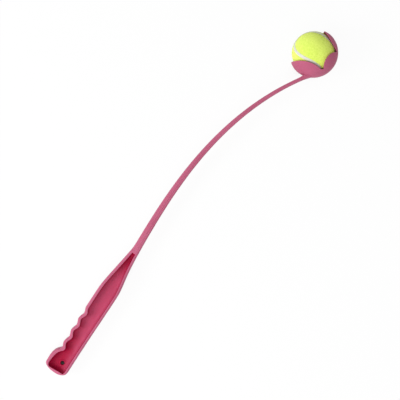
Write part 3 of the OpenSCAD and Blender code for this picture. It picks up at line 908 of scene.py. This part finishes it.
def nap_tree(material):
    """Loose fibre ends standing out of the felt, leaning every way."""
    tree, size = new_tree("felt_nap", ("Fibre length", "Fibre width", "Per square metre", "Lowest radius"))
    length = size["Fibre length"]
    place = add(tree, "GeometryNodeInputPosition").outputs["Position"]
    outer = calc(tree, "GREATER_THAN", vector_calc(tree, "LENGTH", place), size["Lowest radius"])
    roots = add(tree, "GeometryNodeDistributePointsOnFaces", {
        "Mesh": size["Geometry"], "Selection": outer, "Density": size["Per square metre"], "Seed": 7}).outputs
    fibre = add(tree, "GeometryNodeMeshCone", {
        "Vertices": 3, "Side Segments": 2, "Radius Top": 0, "Radius Bottom": size["Fibre width"],
        "Depth": length}, fill_type="NGON").outputs["Mesh"]
    # Each fibre bends over toward its tip
    high = calc(tree, "DIVIDE", add(tree, "ShaderNodeSeparateXYZ", {0: place}).outputs["Z"], length)
    bend = calc(tree, "MULTIPLY", calc(tree, "MULTIPLY", calc(tree, "POWER", high, 2), length), FIBRE_BEND)
    bent = moved(tree, fibre, Offset=add(tree, "ShaderNodeCombineXYZ", {"X": bend}).outputs["Vector"])
    tilt = add(tree, "FunctionNodeRandomValue", {
        0: (-FIBRE_TILT, -FIBRE_TILT, -math.pi), 1: (FIBRE_TILT, FIBRE_TILT, math.pi), "Seed": 11},
        data_type="FLOAT_VECTOR").outputs[0]
    tilted = add(tree, "FunctionNodeRotateRotation", {"Rotation": roots["Rotation"], "Rotate By": tilt},
                 rotation_space="LOCAL").outputs["Rotation"]
    grown = add(tree, "FunctionNodeRandomValue", {2: 0.5, 3: 1.0, "Seed": 13}, data_type="FLOAT").outputs[1]
    fibres = add(tree, "GeometryNodeInstanceOnPoints", {
        "Points": roots["Points"], "Instance": bent, "Rotation": tilted, "Scale": grown}).outputs["Instances"]
    both = add(tree, "GeometryNodeJoinGeometry")
    for part in (size["Geometry"], dressed(tree, fibres, material)):
        tree.links.new(part, both.inputs[0])
    add(tree, "NodeGroupOutput", {"Geometry": both.outputs["Geometry"]})
    return tree


def grow(piece, tree, sizes):
    """Puts a tree on a piece with its sizes, in metres, and keeps the result as a plain mesh."""
    modifier = piece.modifiers.new(tree.name, "NODES")
    modifier.node_group = tree
    for item in tree.interface.items_tree:
        if item.in_out == "INPUT" and item.name in sizes:
            modifier[item.identifier] = float(sizes[item.name])
    finished_mesh(piece)


def face_outward(mesh):
    """Turns an open sheet's faces over if they look toward the ball's centre."""
    work = bmesh.new()
    work.from_mesh(mesh)
    if sum(f.normal.dot(f.calc_center_median()) for f in work.faces) < 0:
        bmesh.ops.reverse_faces(work, faces=work.faces)
    work.to_mesh(mesh)
    work.free()


def seat_on_core(mesh):
    """Moves the underside of a felt panel onto the core."""
    places = points_of(mesh)
    radius = np.linalg.norm(places, axis=1, keepdims=True)
    under = radius < (BALL_R - FELT_UNDER) * MM
    places = np.where(under, places * (BALL_R - FELT_T + CORE_GAP) * MM / radius, places)
    mesh.vertices.foreach_set("co", places.ravel())


def build_ball(felt, seam_rubber):
    """The two felt panels with their nap, and the seam between them."""
    rule = seam_rule()
    panel_tree = felt_tree(rule, felt)
    fibre_tree = nap_tree(felt)
    panels = []
    for name, tip, inset in (("felt_panel_a", -45, FELT_INSET), ("felt_panel_b", 45, -FELT_INSET)):
        panel = new_object(name, bpy.data.meshes.new(name))
        grow(panel, panel_tree, {
            "Radius": (BALL_R - FELT_LOW) * MM, "Lobe tip": math.radians(tip), "Seam inset": inset / BALL_R,
            "Edge roll": FELT_ROLL * MM, "Edge drop": FELT_DROP * MM, "Lumps": FELT_LUMPS * MM})
        face_outward(panel.data)
        wall = panel.modifiers.new("felt_thickness", "SOLIDIFY")
        wall.thickness = FELT_SKIN * MM
        wall.offset = -1
        finished_mesh(panel)
        seat_on_core(panel.data)
        panel.data.shade_smooth()
        grow(panel, fibre_tree, {
            "Fibre length": FIBRE_LENGTH * MM, "Fibre width": FIBRE_WIDTH * MM,
            "Per square metre": FIBRES_PER_M2, "Lowest radius": (BALL_R - FIBRE_LOWEST) * MM})
        panel.data.transform(ball_place)
        panels.append(panel)
    seam = new_object("seam_cement", bpy.data.meshes.new("seam_cement"))
    grow(seam, seam_tree(rule, seam_rubber), {
        "Outer radius": (BALL_R - SEAM_DROP) * MM, "Inner radius": (BALL_R - FELT_T + CORE_GAP) * MM,
        "Width": 2 * (FELT_INSET + SEAM_LAP) * MM})
    seam.data.transform(ball_place)
    seam.data.shade_smooth()
    return panels, seam


polypropylene = moulded_polypropylene()
felt_cover = needled_felt()
seam_cement = vulcanised_seam_rubber()
core_rubber = black_core_rubber()

wand = build_wand(polypropylene)
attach(wand, "wand")
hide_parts("wand")

felt_panels, seam = build_ball(felt_cover, seam_cement)
for panel, node in zip(felt_panels, ("ball_felt_panel_a", "ball_felt_panel_b")):
    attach(panel, "ball")
    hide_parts(node)
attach(seam, "ball")
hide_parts("ball_seam")

for half in ("ball_core_half_a", "ball_core_half_b"):
    core = frame["nodes"][half].data
    core.materials.clear()
    core.materials.append(core_rubber)


# Floor, light and background

def in_view(tree):
    """1 for camera, glossy and transmission rays, else 0."""
    ray = add(tree, "ShaderNodeLightPath").outputs
    seen = calc(tree, "MAXIMUM", ray["Is Camera Ray"], ray["Is Glossy Ray"])
    return calc(tree, "MAXIMUM", seen, ray["Is Transmission Ray"])


def pale_floor():
    """A pale sheet under the launcher that keeps a soft shadow and is white to the camera."""
    mesh = bpy.data.meshes.new("floor")
    work = bmesh.new()
    bmesh.ops.create_grid(work, x_segments=1, y_segments=1, size=4)
    work.to_mesh(mesh)
    work.free()
    floor = new_object("floor", mesh)
    material, tree = new_material("pale_studio_sheet")
    paper = add(tree, "ShaderNodeBsdfDiffuse", {"Color": linear("#F2F2F2")})
    glow = add(tree, "ShaderNodeEmission", {"Color": (1, 1, 1, 1), "Strength": 1.0})
    # Where the launcher covers the sheet closely, as under the hang hole, its shade stays dark
    open_sky = add(tree, "ShaderNodeAmbientOcclusion", {"Distance": 0.05}, samples=8).outputs["AO"]
    whiten = add(tree, "ShaderNodeMapRange", {
        "Value": open_sky, "From Min": 0.2, "From Max": 0.5, "To Max": 0.94}).outputs["Result"]
    share = calc(tree, "MULTIPLY", in_view(tree), whiten)
    sheet = add(tree, "ShaderNodeMixShader", {
        0: share, 1: paper.outputs["BSDF"], 2: glow.outputs["Emission"]})
    add(tree, "ShaderNodeOutputMaterial", {"Surface": sheet.outputs["Shader"]})
    mesh.materials.append(material)


def white_world(level):
    """Even light from all round at a level, and plain white where it is seen."""
    world = bpy.data.worlds.new("studio")
    world.use_nodes = True
    tree = world.node_tree
    tree.nodes.clear()
    light, white = [add(tree, "ShaderNodeBackground", {"Color": (1, 1, 1, 1), "Strength": strength})
                    for strength in (level, 1.0)]
    both = add(tree, "ShaderNodeMixShader", {
        0: in_view(tree), 1: light.outputs["Background"], 2: white.outputs["Background"]})
    add(tree, "ShaderNodeOutputWorld", {"Surface": both.outputs["Shader"]})
    bpy.context.scene.world = world


def soft_box(name, right, up, out, size, power):
    """A square area lamp placed in the photograph's own directions, in metres, aimed at the middle."""
    lamp = bpy.data.lights.new(name, "AREA")
    lamp.shape = "SQUARE"
    lamp.size = size
    lamp.energy = power
    spot = image_middle + right * image_right + up * image_up + out * swing_normal
    aim = (spot - image_middle).to_track_quat("Z", "Y")
    new_object(name, lamp).matrix_world = Matrix.Translation(spot) @ aim.to_matrix().to_4x4()


pale_floor()
white_world(0.48)
soft_box("key_light", -1.3, -0.25, 1.1, 0.7, 17.5)
soft_box("front_fill", -0.3, -0.9, 1.6, 1.0, 12.0)
bpy.context.scene.view_settings.view_transform = "Standard"
